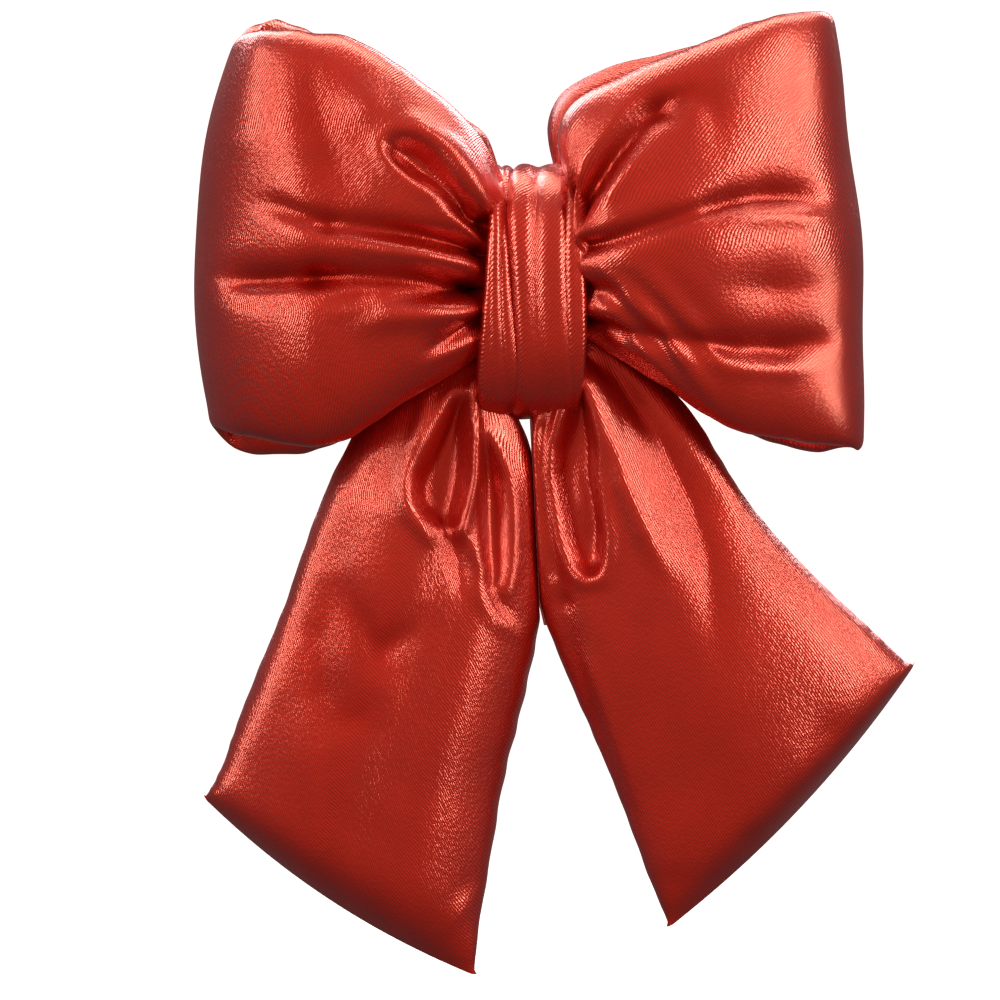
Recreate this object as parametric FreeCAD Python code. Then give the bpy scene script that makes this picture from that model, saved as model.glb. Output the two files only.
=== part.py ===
"""Puffy red metallic gift bow on a spring clip.

Frame, in millimetres: the origin is on the flat inner face of the fixed clip jaw, in the middle of its
throat.  +Z is up, the bow's front faces -Y, and +X is to the viewer's right.  The clip's hinge pin lies
along X.  Two loops, each a padded ribbon folded back on itself, and two padded tails are gathered inside a
knot band.  A thread binds the gather, and the fixed arm of the clip is glued to the back of the band.
"""

import math
import os

import FreeCAD
import Part

Vector = FreeCAD.Vector
X_AXIS = Vector(1, 0, 0)

# ---------------------------------------------------------------- driving dimensions

COVER = 0.8  # metallic-coated cover fabric, with its backing
WADDING_GAP = 0.5  # room between a cover and the wadding in it
LENS_POINTS = 8  # stretches along each face of one padded cross-section
LENS_POWER = 2.3  # 2 is an ellipse; more is squarer
STATION_STEPS = 3  # stretches of loft between one station and the next

KNOT_X, KNOT_Y, KNOT_Z = -5.3, -21.5, 30.3  # middle of the knot band
BAND_WIDTH = 19.0
BAND_HALF_DEPTH, BAND_HALF_HEIGHT = 17.5, 24.7
BAND_WALL = 2.0
BAND_POWER = 2.6
HALF_BAND = BAND_WIDTH / 2
CENTRE_GAP = 0.15  # between the left and the right gathered ends

THREAD_R = 0.45  # gathering thread
THREAD_TURNS = 3
THREAD_PITCH = 1.1
THREAD_HALF_DEPTH, THREAD_HALF_HEIGHT = 14.2, 20.7
THREAD_DROP = 0.8  # the bundle is a little lower than the band's middle

STITCH_R = 0.35  # stitches that close the band at the back
STITCH_LENGTH = 3.0
STITCH_PITCH = 3.6
STITCH_COUNT = 9

CLIP_WIDTH = 12.0
JAW_TIP_WIDTH = 8.0
ARM_BASE = 2.4  # thickness of each arm's base plate
GLUE_WIDTH, GLUE_LENGTH = 8.4, 26.0
PIVOT_Y, PIVOT_Z = 5.0, 20.0
HANDLE_TOP = 51.0
JAW_TIP = -37.0
EAR_R, EAR_WALL = 4.4, 1.7
INNER_EAR_R, INNER_EAR_WALL = 3.6, 1.5
EAR_CLEARANCE = 0.15
PIN_R, PIN_HEAD_R, PIN_HEAD = 1.25, 2.3, 0.7
PIN_DIMPLE_R, PIN_DIMPLE_DEPTH = 0.8, 0.5
RUNNING = 0.08  # radial clearance of the moving ears on the pin
WIRE_R, COIL_R, COIL_TURNS, COIL_PITCH = 0.4, 1.95, 3, 0.98
LEG_LEAN = 9.5  # degrees that each spring leg leans away from the other
LEG_LENGTH = 19.0
HANDLE_STEP = 0.5  # the handle end of the fixed arm is thinner than its throat
HANDLE_WALL = 2.3
THROAT = 5.4  # gap between the jaws behind their tips
TIP_MEET_Y = 2.3  # where the closed tips meet
TIP_GAP = 0.2
TOOTH_DEPTH, TOOTH_PITCH, TEETH = 0.6, 1.8, 5
RIB_R, RIB_PITCH, RIBS = 0.5, 2.6, 6

# ---------------------------------------------------------------- padded pieces
#
# A padded piece is a loft through stations along its ribbon.  A station is (upper edge (x, z),
# lower edge (x, z), y of the middle, half the thickness, turn).  The turn is the way its outer face looks:
# 0 to the front, -90 to the left, 90 to the right, 180 to the back.

IN_L, IN_R = KNOT_X - CENTRE_GAP, KNOT_X + CENTRE_GAP  # where gathered ends meet
SIDE_L, SIDE_R = KNOT_X - HALF_BAND, KNOT_X + HALF_BAND  # the band's two open sides

# each loop leaves the knot in front, folds back at its outer edge and comes home behind
LEFT_LOOP = [
    ((IN_L, 45), (IN_L, 23.4), -28.5, 4.6, 0),
    ((SIDE_L + 3, 48.5), (SIDE_L + 3, 21.6), -29.3, 6.0, 0),
    ((SIDE_L - 0.4, 50), (SIDE_L - 0.4, 21), -29.4, 6.4, 0),
    ((-19.5, 64), (-20.5, 15), -31.5, 9.0, 0),
    ((-32, 74.4), (-32, 7.6), -32.6, 10.4, 0),
    ((-47, 81), (-49, -1), -32.6, 10.4, 0),
    ((-59, 83), (-63, 2), -30.2, 7.4, -12),
    ((-65, 80), (-69.3, 5), -26.8, 3.4, -50),
    ((-66.6, 78), (-71.2, 7), -21.8, 2.2, -90),
    ((-65, 81), (-69.3, 4), -17.4, 3.0, -130),
    ((-59, 84.5), (-63, -2.5), -14.4, 5.6, -168),
    ((-47, 82), (-49, -1.5), -12.2, 7.4, -180),
    ((-32, 74), (-32, 9), -12.2, 7.8, -180),
    ((-19.5, 63), (-20.5, 19), -12.8, 7.0, -180),
    ((SIDE_L - 0.4, 48.5), (SIDE_L - 0.4, 22), -13.5, 6.0, -180),
    ((SIDE_L + 3, 47), (SIDE_L + 3, 22.6), -13.6, 5.6, -180),
    ((IN_L, 44), (IN_L, 24), -14.5, 4.6, -180),
]
RIGHT_LOOP = [
    ((IN_R, 45), (IN_R, 23.4), -28.5, 4.6, 0),
    ((SIDE_R - 3, 48.5), (SIDE_R - 3, 21.6), -29.3, 6.0, 0),
    ((SIDE_R + 0.4, 50), (SIDE_R + 0.4, 21), -29.4, 6.4, 0),
    ((7.5, 67), (9, 19), -31.5, 9.0, 0),
    ((20, 75.6), (21, 11), -32.6, 10.4, 0),
    ((35, 82), (39, 1), -32.6, 10.4, 0),
    ((47, 85.6), (52, -0.6), -30.2, 7.4, 12),
    ((52, 84.5), (58, -0.4), -26.8, 3.4, 50),
    ((53.4, 84), (59.4, 0.4), -21.8, 2.2, 90),
    ((52, 85), (58, -0.6), -17.4, 3.0, 130),
    ((47, 86.2), (52, -1.4), -14.4, 5.6, 168),
    ((35, 84), (39, 0.6), -12.2, 7.4, 180),
    ((19, 78.4), (21, 12), -12.2, 7.8, 180),
    ((7, 70), (9, 22), -12.8, 7.0, 180),
    ((SIDE_R + 0.4, 48.5), (SIDE_R + 0.4, 22), -13.5, 6.0, 180),
    ((SIDE_R - 3, 47), (SIDE_R - 3, 22.6), -13.6, 5.6, 180),
    ((IN_R, 44), (IN_R, 24), -14.5, 4.6, 180),
]
LEFT_TAIL = [
    ((IN_L, 19.6), (IN_L, 12.5), KNOT_Y, 5.5, 0),
    ((SIDE_L + 3, 20), (SIDE_L + 3, 10), KNOT_Y, 6.6, 0),
    ((SIDE_L - 0.6, 20), (SIDE_L - 1.2, 8.5), KNOT_Y, 7.0, 0),
    ((-22, 17.5), (-15.4, 4.6), -21, 7.2, 0),
    ((-30, 12), (-10.5, -1), -20.5, 7.8, 0),
    ((-38.5, 5), (-7, -8), -20, 8.5, 0),
    ((-44.5, -4), (-5.8, -16), -20, 9.5, 0),
    ((-50.5, -19), (-5.7, -30), -19.5, 10, 0),
    ((-58, -39), (-7, -50), -19, 10.5, 0),
    ((-66.5, -60), (-12, -77), -18, 8.5, 0),
    ((-71.5, -71), (-17, -107), -17, 2.0, 0),
]
RIGHT_TAIL = [
    ((IN_R, 19.6), (IN_R, 12.5), KNOT_Y, 5.5, 0),
    ((SIDE_R - 3, 20), (SIDE_R - 3, 10), KNOT_Y, 6.6, 0),
    ((SIDE_R + 0.6, 20), (SIDE_R + 1.2, 8.5), KNOT_Y, 7.0, 0),
    ((12, 18), (4.8, 4.6), -21, 7.2, 0),
    ((20, 12), (-0.5, -1), -20.5, 7.8, 0),
    ((28, 4.4), (-4.2, -8), -20, 8.5, 0),
    ((34, -5.5), (-4.9, -16), -20, 9.5, 0),
    ((42.5, -17), (-3.0, -31), -19.5, 10, 0),
    ((55, -30), (6, -57), -19, 10.5, 0),
    ((66, -41), (16, -80), -18, 8, 0),
    ((72, -45), (22, -97), -17, 2.0, 0),
]
PADDED = {
    "left_loop": LEFT_LOOP,
    "right_loop": RIGHT_LOOP,
    "left_tail": LEFT_TAIL,
    "right_tail": RIGHT_TAIL,
}


def power(value, exponent):
    """A signed power, for superellipses."""
    return math.copysign(abs(value) ** exponent, value)


def cubic(a, b, c, d, t):
    """Catmull-Rom interpolation from b to c."""
    bend = (2 * a - 5 * b + 4 * c - d) * t * t + (3 * b - a - 3 * c + d) * t**3
    return b + ((c - a) * t + bend) / 2


def flatten(station):
    (upper_x, upper_z), (lower_x, lower_z), y, half, turn = station
    return (upper_x, upper_z, lower_x, lower_z, y, half, turn)


def smooth(stations):
    """The stations with more of them between, so that ruled lofts look rounded."""
    rows = [flatten(station) for station in stations]
    dense = []
    for k in range(len(rows) - 1):
        four = (rows[max(k - 1, 0)], rows[k], rows[k + 1], rows[min(k + 2, len(rows) - 1)])
        for step in range(STATION_STEPS):
            dense.append([cubic(*values, step / STATION_STEPS) for values in zip(*four)])
    dense.append(list(rows[-1]))
    return dense


def lens(row, gap):
    """The two edges of a padded cross-section, outer face and inner face, shrunk by the gap."""
    upper_x, upper_z, lower_x, lower_z, y, half, turn = row
    middle = Vector((upper_x + lower_x) / 2, y, (upper_z + lower_z) / 2)
    half_chord = Vector((upper_x - lower_x) / 2, 0, (upper_z - lower_z) / 2)
    half_chord *= 1 - 2 * gap / half_chord.Length  # the seams need more room than the faces
    outward = Vector(math.sin(math.radians(turn)), -math.cos(math.radians(turn)), 0)
    edges = []
    for side in (1, -1):
        points = []
        for k in range(LENS_POINTS + 1):
            angle = math.pi * k / LENS_POINTS
            along = power(math.cos(angle), 2 / LENS_POWER)
            across = side * power(math.sin(angle), 2 / LENS_POWER)
            points.append(middle + half_chord * along + outward * (half - gap) * across)
        curve = Part.BSplineCurve()
        curve.interpolate(points)
        edges.append(curve.toShape())
    return edges


def padded_solid(rows, gap=0.0):
    """A closed padded body through the rows, clear of their outside by the gap."""
    sections = [lens(row, gap) for row in rows]
    faces = []
    for near, far in zip(sections, sections[1:]):
        faces.extend(Part.makeRuledSurface(near[side], far[side]) for side in (0, 1))
    for end in (sections[0], sections[-1]):
        faces.append(Part.Face(Part.Wire(Part.__sortEdges__(list(end)))))
    shell = Part.makeShell(faces)
    shell.sewShape()
    solid = Part.makeSolid(shell)
    if solid.Volume < 0:
        solid.reverse()
    return solid


def make_padded(parts):
    """Each padded piece is a closed fabric cover with loose wadding sealed inside it."""
    for name, stations in PADDED.items():
        rows = smooth(stations)
        inside = rows[1:-1]
        cover = padded_solid(rows).cut(padded_solid(inside, COVER))
        parts[name + "_cover"] = cover
        parts[name + "_wadding"] = padded_solid(inside[1:-1], COVER + WADDING_GAP)


# ---------------------------------------------------------------- knot


def oval(x, half_depth, half_height, z_middle, exponent, count=24):
    """A closed oval round the X axis of the knot."""
    points = []
    for k in range(count):
        angle = 2 * math.pi * k / count
        y = KNOT_Y + half_depth * power(math.cos(angle), 2 / exponent)
        z = z_middle + half_height * power(math.sin(angle), 2 / exponent)
        points.append(Vector(x, y, z))
    curve = Part.BSplineCurve()
    curve.interpolate(points, PeriodicFlag=True)
    return Part.Wire(curve.toShape())


def make_band(parts):
    """The knot band is a fabric strip closed into a ring round the gathered ends."""
    outer = oval(SIDE_L, BAND_HALF_DEPTH, BAND_HALF_HEIGHT, KNOT_Z, BAND_POWER)
    inner = oval(
        SIDE_L,
        BAND_HALF_DEPTH - BAND_WALL,
        BAND_HALF_HEIGHT - BAND_WALL,
        KNOT_Z,
        BAND_POWER,
    )
    across = Vector(BAND_WIDTH, 0, 0)
    block = Part.Face(outer).extrude(across)
    parts["knot_band"] = block.cut(Part.Face(inner).extrude(across))


def make_thread(parts):
    """The gathering thread goes round the bundle inside the band, in turns side by side."""
    turns = []
    for k in range(THREAD_TURNS):
        x = KNOT_X + (k - (THREAD_TURNS - 1) / 2) * THREAD_PITCH
        path = oval(x, THREAD_HALF_DEPTH, THREAD_HALF_HEIGHT, KNOT_Z - THREAD_DROP, 2.2)
        start = path.Edges[0].valueAt(path.Edges[0].FirstParameter)
        direction = path.Edges[0].tangentAt(path.Edges[0].FirstParameter)
        section = Part.Wire(Part.makeCircle(THREAD_R, start, direction))
        turns.append(path.makePipeShell([section], True, False))
    parts["gather_thread"] = Part.makeCompound([solid for t in turns for solid in t.Solids])


def band_back(z):
    """The y of the band's back at a height."""
    rise = abs((z - KNOT_Z) / BAND_HALF_HEIGHT) ** BAND_POWER
    return KNOT_Y + BAND_HALF_DEPTH * (1 - rise) ** (1 / BAND_POWER)


def make_stitches(parts):
    """A row of stitches closes the band on its back face, beside the clip."""
    stitches = []
    for k in range(STITCH_COUNT):
        z = KNOT_Z + (k - (STITCH_COUNT - 1) / 2) * STITCH_PITCH
        start = Vector(SIDE_L + 1.2, band_back(z), z)
        thread = Part.makeCylinder(STITCH_R, STITCH_LENGTH, start, X_AXIS)
        stitches.extend(thread.cut(parts["knot_band"]).Solids)
    outside = [s for s in stitches if s.CenterOfMass.y > band_back(s.CenterOfMass.z)]
    parts["band_stitches"] = Part.makeCompound(outside)


def make_glue(parts):
    """Hot-melt glue fills the space between the back of the band and the clip."""
    z0 = KNOT_Z - GLUE_LENGTH / 2
    y0 = band_back(z0) - 0.5
    pad = Part.makeBox(GLUE_WIDTH, -ARM_BASE - y0, GLUE_LENGTH, Vector(-GLUE_WIDTH / 2, y0, z0))
    parts["clip_glue"] = pad.cut(parts["knot_band"])


# ---------------------------------------------------------------- clip


def side_plate(points, width):
    """A profile drawn in the YZ plane, as wide as given and centred on X = 0."""
    wire = Part.makePolygon([Vector(-width / 2, y, z) for y, z in points + points[:1]])
    return Part.Face(wire).extrude(Vector(width, 0, 0))


def plan_outline(stations):
    """A block that narrows the arm as seen from the front; stations are (z, half width)."""
    left = [Vector(-half, -30, z) for z, half in stations]
    right = [Vector(half, -30, z) for z, half in reversed(stations)]
    wire = Part.makePolygon(left + right + left[:1])
    return Part.Face(wire).extrude(Vector(0, 60, 0))


def across(radius, x0, x1, y=PIVOT_Y, z=PIVOT_Z):
    """A cylinder along X."""
    return Part.makeCylinder(radius, x1 - x0, Vector(x0, y, z), X_AXIS)


def teeth(face_y, side):
    """The V grooves across a jaw's tip pad; side is +1 where the jaw lies towards +Y."""
    grooves = []
    for k in range(TEETH):
        z = JAW_TIP + 2.2 + k * TOOTH_PITCH
        half = TOOTH_PITCH * 0.4
        tip = face_y + side * TOOTH_DEPTH
        mouth = face_y - side * 0.1
        grooves.append(
            side_plate([(mouth, z - half), (tip, z), (mouth, z + half)], CLIP_WIDTH + 2)
        )
    return Part.makeCompound(grooves)


def make_fixed_arm(parts):
    """The arm that is glued to the bow, with the two outer ears that hold the pin."""
    back = -ARM_BASE
    tip_face = TIP_MEET_Y - TIP_GAP / 2
    profile = [
        (back, HANDLE_TOP - 2),
        (back, -14),
        (back + 0.8, -28),
        (tip_face - 1.6, JAW_TIP + 0.6),
        (tip_face - 1.0, JAW_TIP),
        (tip_face, JAW_TIP + 0.4),
        (tip_face, -26),
        (0.0, -14),
        (0.0, 10),
        (-HANDLE_STEP, 10.5),
        (-HANDLE_STEP, HANDLE_TOP - 1),
        (back + 0.6, HANDLE_TOP),
    ]
    arm = side_plate(profile, CLIP_WIDTH)
    half = CLIP_WIDTH / 2
    tip_half = JAW_TIP_WIDTH / 2
    outline = plan_outline(
        [
            (HANDLE_TOP + 1, half - 2.4),
            (HANDLE_TOP - 1.5, half - 1.1),
            (HANDLE_TOP - 5, half),
            (6, half),
            (-10, half - 0.8),
            (JAW_TIP + 4, tip_half),
            (JAW_TIP - 1, tip_half - 1.2),
        ]
    )
    arm = arm.common(outline)
    root = -HANDLE_STEP - 0.1
    ear_profile = [
        (root, PIVOT_Z - 8),
        (PIVOT_Y - 0.5, PIVOT_Z - EAR_R),
        (PIVOT_Y, PIVOT_Z),
        (PIVOT_Y - 0.5, PIVOT_Z + EAR_R),
        (root, PIVOT_Z + 8),
    ]
    for side in (-1, 1):
        x0 = side * half if side < 0 else half - EAR_WALL
        ear = across(EAR_R, x0, x0 + EAR_WALL)
        web = side_plate(ear_profile, EAR_WALL)
        web.translate(Vector(x0 + EAR_WALL / 2, 0, 0))
        arm = arm.fuse(ear).fuse(web)
    arm = arm.cut(across(PIN_R, -half - 1, half + 1))
    arm = arm.cut(teeth(tip_face, -1))
    parts["clip_fixed_arm"] = arm.removeSplitter()


def make_moving_arm(parts):
    """The arm that swings, with two inner ears on the pin, a ribbed thumb pad and the upper jaw."""
    tip_face = TIP_MEET_Y + TIP_GAP / 2
    slope = math.tan(math.radians(LEG_LEAN))
    neck_in = PIVOT_Y + COIL_R + WIRE_R + 0.12
    neck_out = neck_in + HANDLE_WALL
    top_in = neck_in + (HANDLE_TOP - PIVOT_Z) * slope
    top_out = top_in + HANDLE_WALL
    profile = [
        (tip_face, JAW_TIP + 0.4),
        (tip_face + 1.0, JAW_TIP),
        (tip_face + 1.8, JAW_TIP + 0.8),
        (7.4, -24),
        (9.2, -10),
        (neck_out, 4),
        (neck_out, PIVOT_Z),
        (top_out, HANDLE_TOP - 0.8),
        (top_out - 0.6, HANDLE_TOP),
        (top_in + 0.4, HANDLE_TOP),
        (top_in - 0.1, HANDLE_TOP - 0.6),
        (neck_in, PIVOT_Z),
        (neck_in, 8),
        (THROAT, 4),
        (THROAT, -12),
        (tip_face, -26),
    ]
    half = CLIP_WIDTH / 2
    tip_half = JAW_TIP_WIDTH / 2
    ear_outside = half - EAR_WALL - EAR_CLEARANCE
    arm = side_plate(profile, CLIP_WIDTH)
    outline = plan_outline(
        [
            (HANDLE_TOP + 1, half - 2.4),
            (HANDLE_TOP - 1.5, half - 1.1),
            (HANDLE_TOP - 5, half),
            (PIVOT_Z + 13, half),
            (PIVOT_Z + 9, ear_outside),
            (PIVOT_Z - 9, ear_outside),
            (PIVOT_Z - 13, half - 0.7),
            (-10, half - 0.9),
            (JAW_TIP + 4, tip_half),
            (JAW_TIP - 1, tip_half - 1.2),
        ]
    )
    arm = arm.common(outline)
    web_profile = [
        (neck_in + 0.1, PIVOT_Z - 6),
        (PIVOT_Y + 0.3, PIVOT_Z - INNER_EAR_R + 0.1),
        (PIVOT_Y, PIVOT_Z),
        (PIVOT_Y + 0.3, PIVOT_Z + INNER_EAR_R - 0.1),
        (neck_in + 0.1, PIVOT_Z + 6),
    ]
    for side in (-1, 1):
        x0 = -ear_outside if side < 0 else ear_outside - INNER_EAR_WALL
        ear = across(INNER_EAR_R, x0, x0 + INNER_EAR_WALL)
        web = side_plate(web_profile, INNER_EAR_WALL)
        web.translate(Vector(x0 + INNER_EAR_WALL / 2, 0, 0))
        arm = arm.fuse(ear).fuse(web)
    # the thumb pad's ribs lie across the slope of the handle
    for k in range(RIBS):
        z = HANDLE_TOP - 3 - k * RIB_PITCH
        y = neck_out + (z - PIVOT_Z) * slope
        arm = arm.fuse(across(RIB_R, -half + 1.8, half - 1.8, y, z))
    arm = arm.cut(across(PIN_R + RUNNING, -half - 1, half + 1))
    arm = arm.cut(teeth(tip_face, 1))
    parts["clip_moving_arm"] = arm.removeSplitter()


def make_pin(parts):
    """A riveted hinge pin, dimpled at both ends."""
    half = CLIP_WIDTH / 2
    reach = half + PIN_HEAD
    pin = across(PIN_R, -reach, reach)
    for x0 in (-reach, half):
        pin = pin.fuse(across(PIN_HEAD_R, x0, x0 + PIN_HEAD))
    for x0 in (-reach, reach - PIN_DIMPLE_DEPTH):
        pin = pin.cut(across(PIN_DIMPLE_R, x0, x0 + PIN_DIMPLE_DEPTH))
    parts["clip_pin"] = pin.removeSplitter()


def make_spring(parts):
    """A torsion spring round the pin.  Its coil ends lean onto the two handles."""
    lean = math.radians(LEG_LEAN)
    start_angle = math.pi + lean
    end_angle = 2 * math.pi * (COIL_TURNS + 1) - lean
    turns = (end_angle - start_angle) / (2 * math.pi)
    length = turns * COIL_PITCH
    helix = Part.makeLongHelix(COIL_PITCH, length, COIL_R, 0, False)
    # the helix is made round +Z from angle 0 and is turned to lie round the pin
    placement = FreeCAD.Placement(
        Vector(-length / 2, PIVOT_Y, PIVOT_Z),
        FreeCAD.Rotation(Vector(0, 1, 0), Vector(0, 0, 1), Vector(1, 0, 0), "ZXY"),
    )
    turn_to_start = FreeCAD.Placement(
        Vector(0, 0, 0), FreeCAD.Rotation(Vector(0, 0, 1), math.degrees(start_angle))
    )
    helix.Placement = placement.multiply(turn_to_start)
    edges = Part.__sortEdges__(helix.Edges)
    first, last = edges[0], edges[-1]
    begin = first.valueAt(first.FirstParameter)
    begin_way = first.tangentAt(first.FirstParameter) * -1
    finish = last.valueAt(last.LastParameter)
    finish_way = last.tangentAt(last.LastParameter)
    leg_in = Part.makeLine(begin + begin_way * LEG_LENGTH, begin)
    leg_out = Part.makeLine(finish, finish + finish_way * LEG_LENGTH)
    path = Part.Wire([leg_in] + edges + [leg_out])
    section = Part.Wire(
        Part.makeCircle(WIRE_R, begin + begin_way * LEG_LENGTH, begin_way)
    )
    parts["clip_spring"] = path.makePipeShell([section], True, True)


# ---------------------------------------------------------------- everything


def build():
    parts = {}
    make_padded(parts)
    make_band(parts)
    make_thread(parts)
    make_stitches(parts)
    make_glue(parts)
    make_fixed_arm(parts)
    make_moving_arm(parts)
    make_pin(parts)
    make_spring(parts)
    return parts


def main():
    os.makedirs("parts", exist_ok=True)
    for name, shape in build().items():
        shape.exportStep("parts/" + name + ".step")
        box = shape.BoundBox
        sides = [(box.XMin, box.XMax), (box.YMin, box.YMax), (box.ZMin, box.ZMax)]
        reach = "  ".join(f"{low:7.2f} {high:7.2f}" for low, high in sides)
        print(f"{name:20s} {shape.isValid()} {len(shape.Solids)} {shape.Volume:9.1f} mm3  {reach}")


main()
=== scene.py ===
"""The puffy red gift bow on its spring clip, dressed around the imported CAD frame.

Shapes are worked out in millimetres in the row frame: +Z up, -Y out of the bow's front, +X to the right.
"""

import math

import bpy
import numpy as np
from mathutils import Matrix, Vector


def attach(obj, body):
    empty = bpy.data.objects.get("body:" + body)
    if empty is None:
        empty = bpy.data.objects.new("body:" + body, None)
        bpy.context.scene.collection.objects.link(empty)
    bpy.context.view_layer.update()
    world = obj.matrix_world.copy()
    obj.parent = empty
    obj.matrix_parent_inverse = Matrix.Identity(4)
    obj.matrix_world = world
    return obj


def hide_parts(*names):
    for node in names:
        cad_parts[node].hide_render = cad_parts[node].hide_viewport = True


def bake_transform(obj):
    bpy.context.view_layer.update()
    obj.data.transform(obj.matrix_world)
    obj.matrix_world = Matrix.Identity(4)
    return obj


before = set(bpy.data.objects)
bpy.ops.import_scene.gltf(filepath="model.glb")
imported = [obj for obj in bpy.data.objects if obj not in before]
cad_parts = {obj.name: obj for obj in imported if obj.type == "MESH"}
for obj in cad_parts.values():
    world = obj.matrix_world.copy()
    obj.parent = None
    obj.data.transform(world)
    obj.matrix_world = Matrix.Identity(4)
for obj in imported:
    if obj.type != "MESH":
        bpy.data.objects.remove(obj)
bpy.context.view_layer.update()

MM = 0.001
RNG = np.random.default_rng(11)

# How the stations become a grid: the steps between two stations, how square a section is, and the rows and
# columns of a loop and a tail before their folds are pressed in.
SPLINE_STEPS = 12
TUBE_POWER = 2.2
LOOP_GRID = (104, 144)
TAIL_GRID = (100, 112)

# How the cloth is blown up.  A hold is the share of the way back to its start that a point moves each step,
# and a pull is the share of its stretch and of its squeeze that a length takes back.
INFLATE_STEPS = 200
PUSH_STEPS = 40
PRESSURE = 0.007
SPEED_KEPT = 0.92
FREE_BEND = 0.012
FREE_HOLD = 0.012
SEAM_HOLD = 0.6
ALONG_PULL = (0.9, 0.5)
ACROSS_PULL = (0.25, 0.1)

# The room each piece has from front to back, and the line where the two tails meet: its X, its slope, and
# how far below the origin the slope starts.
LOOP_ROOM_Y = (-46.5, -4.4)
FRONT_LAYER_Y = -21.9
BACK_LAYER_Y = -21.1
TAIL_ROOM_Y = (-34.0, -6.5)
MEET_X = -5.6
MEET_SLOPE = 0.05
MEET_TOP = 1.4

# How the folds are pressed in and settle.  The shapes of a valley and of a pocket's lip and rim are shares
# or millimetres; the widths of puckers and seams are rows or columns of the grid.
CREASE_GAIN = 1.2
VALLEY_SPREAD = 1.45
VALLEY_POWER = 1.35
POCKET_LIP = 0.2
POCKET_SHADE = 0.25
RIM_PLACE = 1.2
RIM_WIDTH = 1.3
PUCKER_STEP = 1.3
PUCKER_REACH = 3.2
LOOP_PUCKER = 0.22
TAIL_PUCKER = 0.13
SEAM_DEPTH = 0.45
SEAM_WIDTH = 1.4
SETTLE_STEPS = 16
SETTLE_BEND = 0.02
SETTLE_HOLD = 0.08

# The knot band: a ring round the knot.  Edges are (z, left x, right x) on its front; folds are (x, depth,
# width), and a negative depth is a ridge.
KNOT_Y, KNOT_Z = -21.8, 30.4
KNOT_HALF_Y, KNOT_HALF_Z = 17.6, 24.9
KNOT_POWER = 2.5
KNOT_CROWN = 0.6
KNOT_TUCK = 5.5
KNOT_BACK_LEFT, KNOT_BACK_RIGHT = -14.6, 4.0
KNOT_CLOTH = 0.8
KNOT_EDGES = [
    (56, -11.6, 0.8),
    (50.6, -12.6, 2.9),
    (45, -13.6, 3.5),
    (30, -14.5, 4.4),
    (20, -15.3, 4.5),
    (12, -15.9, 4.1),
    (5, -15.4, 3.0),
]
KNOT_FOLDS = [(-11.4, 1.0, 0.55), (-9.6, 2.0, 0.8), (-4.4, 0.8, 1.5), (1.5, 0.9, 0.6), (-12.9, -0.3, 0.5)]

# The clip: the hinge line, and the radius of the spring's wire.
PIVOT_Y, PIVOT_Z = 5.0, 20.0
SPRING_WIRE = 0.4

# The foil cloth.  The twill's pitch is in millimetres and its angle in degrees.
TWILL_PITCH = 0.5
TWILL_ANGLE = 32.0
FOIL_DARK = (0.64, 0.017, 0.007)
FOIL_LIGHT = (0.76, 0.024, 0.010)
# Painted shade: the dark red that the foil is darkened towards deep in the folds.
FOIL_PAINTED_SHADE = (0.23, 0.009, 0.005)

# The sockets of a colour Mix node.
MIX_FACTOR, MIX_A, MIX_B, MIX_RESULT = 0, 6, 7, 2

# The studio, in metres and watts.  A light is its name, place, size, power and tint.
FLOOR_Z = -0.2
DOME_RADIUS = 7.0
DOME_SIDES = 64
DOME_RINGS = 24
FLOOR_RINGS = 8
STUDIO_FRONT = (0.52, 0.135, 0.08, 1)
STUDIO_BEHIND = (0.13, 0.12, 0.12, 1)
CAMERA_PLACE = (-0.012, -1.225, -0.0114)
WARM = (1, 0.84, 0.62)
WHITE = (1, 1, 1)
LIGHTS = [
    ("left_strip", (-1.12, -0.82, 0.5), (0.22, 1.0), 6.5, WARM),
    ("right_strip", (1.12, -0.82, 0.4), (0.22, 1.1), 8.5, WARM),
    ("top", (0.0, 0.12, 1.2), (1.2, 0.4), 9, WARM),
    ("back_left", (-0.7, 0.85, 0.95), (0.5, 0.8), 9, WHITE),
    ("back_right", (0.7, 0.85, 0.95), (0.5, 0.8), 9, WHITE),
]

# ---------------------------------------------------------------- shapes of the padded pieces
#
# A station is (upper x, upper z, lower x, lower z, y, half thickness, turn, bow).  The turn is the way the
# outer face looks: 0 to the front, -90 to the left, 90 to the right, 180 to the back.  The bow is how far
# the middle of a station lies to the right of its edges.

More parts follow.
